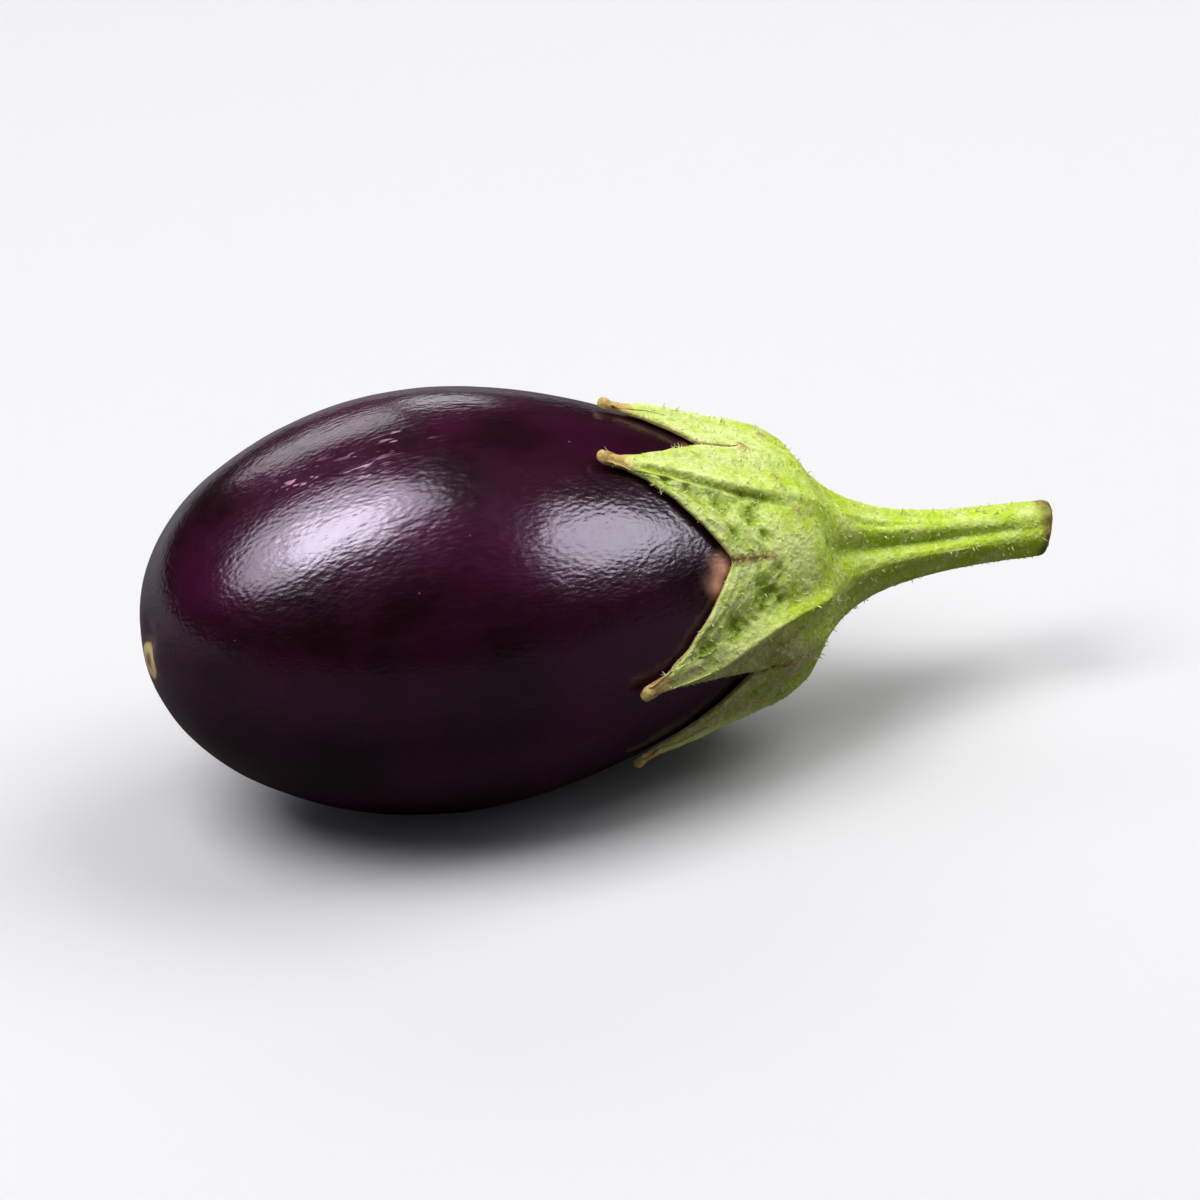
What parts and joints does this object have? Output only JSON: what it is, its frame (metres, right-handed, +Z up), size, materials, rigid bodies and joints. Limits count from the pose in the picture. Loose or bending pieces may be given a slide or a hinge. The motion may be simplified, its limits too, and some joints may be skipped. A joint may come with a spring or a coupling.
{
  "type": "baby eggplant",
  "caption": "Small egg-shaped purple eggplant lying on its side, with a green pointed-lobed calyx and a short ribbed cut stem.",
  "frame": {"origin": "middle of the bounding box's underside, on the surface that the eggplant lies on", "axes": "+X along the eggplant towards its stem, +Z up"},
  "size_m": [0.1026, 0.0462, 0.0446],
  "materials": {
    "skin": "gloss",
    "green": "matte"
  },
  "bodies": {
    "root": {"fruit": "skin", "calyx_and_stem": "green"}
  },
  "joints": []
}
